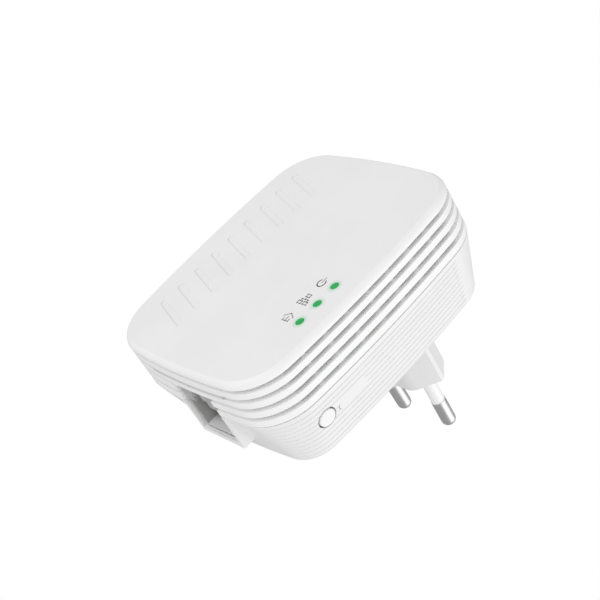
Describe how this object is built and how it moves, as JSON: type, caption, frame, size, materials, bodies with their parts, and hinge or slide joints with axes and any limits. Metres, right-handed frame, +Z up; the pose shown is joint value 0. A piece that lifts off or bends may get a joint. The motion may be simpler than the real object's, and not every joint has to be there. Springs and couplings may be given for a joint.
{
  "type": "powerline adapter",
  "caption": "Plug-in powerline network adapter: vented front cover over a ribbed rear housing, network jack below, side pairing button, status lights and a mains plug behind.",
  "frame": {"origin": "centre of the mains plug's engagement face, half way between the two contact pins", "axes": "+X to the right seen from the front, +Y from the front cover towards the wall socket along the plug, +Z up"},
  "size_m": [0.0638, 0.0685, 0.0756],
  "materials": {
    "cover_plastic": "white, fine satin",
    "housing_plastic": "white, fine satin",
    "plug_plastic": "white, satin",
    "sleeve_plastic": "white, satin",
    "pin_metal": "nickel-plated, polished",
    "spring_metal": "phosphor bronze, bright",
    "circuit_board": "green solder mask",
    "insulation_film": "thin translucent film",
    "screw_steel": "zinc-plated",
    "shield_steel": "tin-plated sheet",
    "jack_plastic": "dark moulding",
    "contact_gold": "gold-plated",
    "button_plastic": "white, satin",
    "switch_plastic": "black moulding",
    "plunger_plastic": "coloured plunger",
    "light_guide": "clear polycarbonate lit green",
    "holder_plastic": "black, light-tight",
    "led_chip": "white package with phosphor",
    "can_sleeve": "dark shrink sleeve, aluminium top",
    "film_box": "yellow box",
    "disc_blue": "blue dipped coating",
    "fuse_body": "brown can",
    "chip_black": "black epoxy",
    "ferrite": "dark ferrite",
    "copper_wire": "enamelled copper",
    "bobbin_plastic": "black phenolic",
    "winding_tape": "yellow polyester tape",
    "pad_silicone": "soft silicone",
    "sink_aluminium": "extruded, satin"
  },
  "bodies": {
    "adapter": {"front_cover": "cover_plastic", "rear_housing": "housing_plastic", "plug_base": "plug_plastic", "contact_pin_left": "pin_metal", "contact_pin_right": "pin_metal", "pin_sleeve_left": "sleeve_plastic", "pin_sleeve_right": "sleeve_plastic", "pin_contact_springs": "spring_metal", "main_board": "circuit_board", "insulation_sheet": "insulation_film", "housing_screws": "screw_steel", "board_screws": "screw_steel", "jack_shield": "shield_steel", "jack_housing": "jack_plastic", "jack_contacts": "contact_gold", "switch_housing": "switch_plastic", "switch_frame": "shield_steel", "switch_dome": "spring_metal", "light_guide_power": "light_guide", "light_guide_network": "light_guide", "light_guide_home": "light_guide", "light_guide_holder": "holder_plastic", "indicator_leds": "led_chip", "bulk_capacitors": "can_sleeve", "output_capacitor": "can_sleeve", "x_capacitor": "film_box", "y_capacitor": "disc_blue", "fuse": "fuse_body", "varistor": "disc_blue", "bridge_rectifier": "chip_black", "power_controller": "chip_black", "choke_core": "ferrite", "choke_winding": "copper_wire", "transformer_core": "ferrite", "transformer_bobbin": "bobbin_plastic", "transformer_winding": "winding_tape", "powerline_chip": "chip_black", "thermal_pad": "pad_silicone", "heat_sink": "sink_aluminium", "memory_chip": "chip_black", "flash_chip": "chip_black", "crystal": "shield_steel", "ethernet_chip": "chip_black", "ethernet_transformer": "chip_black", "coupling_transformer": "ferrite"},
    "button": {"pairing_button": "button_plastic"},
    "plunger": {"switch_plunger": "plunger_plastic"}
  },
  "joints": [
    {"name": "button_press", "type": "slide", "parent": "adapter", "child": "button", "axis": [-1, 0, 0], "range_m": [0, 0.0005], "stiffness_N_per_m": 3000},
    {"name": "plunger_press", "type": "slide", "parent": "adapter", "child": "plunger", "axis": [-1, 0, 0], "range_m": [0, 0.0005], "stiffness_N_per_m": 500}
  ],
  "couplings": [
    {"joint": "plunger_press", "follows": "button_press", "ratio": 1}
  ]
}
